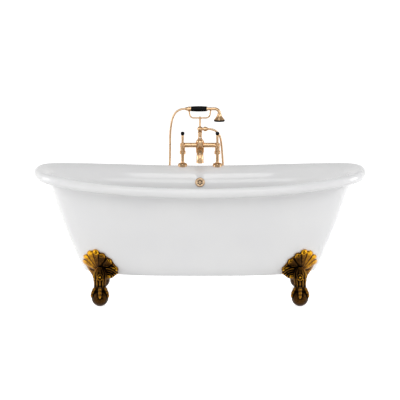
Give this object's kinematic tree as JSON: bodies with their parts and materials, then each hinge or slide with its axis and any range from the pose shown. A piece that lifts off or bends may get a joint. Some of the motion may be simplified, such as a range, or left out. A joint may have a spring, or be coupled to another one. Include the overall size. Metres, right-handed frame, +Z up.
{
  "type": "clawfoot bathtub",
  "caption": "Freestanding double-ended boat bath with rolled rim and cast claw feet, deck mixer with lever valves, telephone handset on a cradle and shower hose.",
  "frame": {"origin": "on the floor under the middle of the bath, half way along and half way across the rolled rim", "axes": "+X along the bath to the right in the picture, +Y across it from the viewer's side to the mixer's side, +Z up"},
  "size_m": [1.7, 0.782, 0.9375],
  "materials": {
    "white_acrylic": "polished white acrylic",
    "board": "raw chipboard",
    "timber": "sawn softwood",
    "antique_gold": "antique gold paint with dark recesses",
    "zinc_steel": "zinc plated",
    "insert_brass": "turned brass",
    "pale_gold": "polished pale gold plating",
    "grille_brass": "polished brass",
    "rubber_black": "matt",
    "moulded_black": "moulded",
    "pipe_white": "moulded",
    "black_handle": "polished black",
    "white_face": "satin",
    "hose_gold": "interlocked metal hose"
  },
  "bodies": {
    "bath": {"inner_shell": "white_acrylic", "outer_shell": "white_acrylic", "baseboard": "board", "floor_bearers": "timber", "foot_front_left": "antique_gold", "foot_front_right": "antique_gold", "foot_rear_left": "antique_gold", "foot_rear_right": "antique_gold", "foot_studs": "zinc_steel", "foot_washers": "zinc_steel", "foot_nuts": "zinc_steel", "stud_inserts": "insert_brass", "waste_flange": "pale_gold", "waste_seal": "rubber_black", "waste_body": "moulded_black", "overflow_grille": "grille_brass", "overflow_screw": "pale_gold", "overflow_seal": "rubber_black", "overflow_elbow": "moulded_black", "overflow_pipe": "pipe_white", "pipe_clips": "zinc_steel", "flange_seals": "rubber_black", "leg_left": "pale_gold", "leg_right": "pale_gold", "leg_unions": "pale_gold", "tail_washers": "moulded_black", "tail_nuts": "insert_brass", "mixer_body": "pale_gold", "valve_left": "pale_gold", "valve_right": "pale_gold", "spout": "pale_gold", "flow_straightener": "white_face", "riser": "pale_gold", "hose_nut": "pale_gold", "cradle": "pale_gold", "shower_hose": "hose_gold"},
    "left_lever": {"spindle_left": "insert_brass", "lever_left": "pale_gold", "lever_cap_left": "black_handle", "lever_screw_left": "pale_gold"},
    "right_lever": {"spindle_right": "insert_brass", "lever_right": "pale_gold", "lever_cap_right": "black_handle", "lever_screw_right": "pale_gold"},
    "diverter": {"diverter_knob": "pale_gold", "diverter_button": "white_face"},
    "handset": {"grip": "black_handle", "grip_ferrules": "pale_gold", "handset_tube": "pale_gold", "rose_bell": "pale_gold", "rose_rim": "moulded_black", "rose_face": "white_face", "hose_cone": "pale_gold"},
    "plug": {"waste_plug": "pale_gold", "waste_plug_seal": "rubber_black"}
  },
  "joints": [
    {"name": "left_valve", "type": "hinge", "parent": "bath", "child": "left_lever", "pos_m": [-0.09, 0.345, 0.733], "axis": [0, -1, 0], "range_deg": [0, 90]},
    {"name": "right_valve", "type": "hinge", "parent": "bath", "child": "right_lever", "pos_m": [0.09, 0.345, 0.733], "axis": [0, 1, 0], "range_deg": [0, 90]},
    {"name": "diverter_turn", "type": "hinge", "parent": "bath", "child": "diverter", "pos_m": [0, 0.345, 0.77592], "axis": [0, -1, 0], "range_deg": [0, 90]},
    {"name": "handset_lift", "type": "slide", "parent": "bath", "child": "handset", "axis": [0, 0, 1], "range_m": [0, 0.12]},
    {"name": "plug_press", "type": "slide", "parent": "bath", "child": "plug", "axis": [0, 0, 1], "range_m": [-0.009, 0], "stiffness_N_per_m": 200, "springref_m": 0.01}
  ]
}
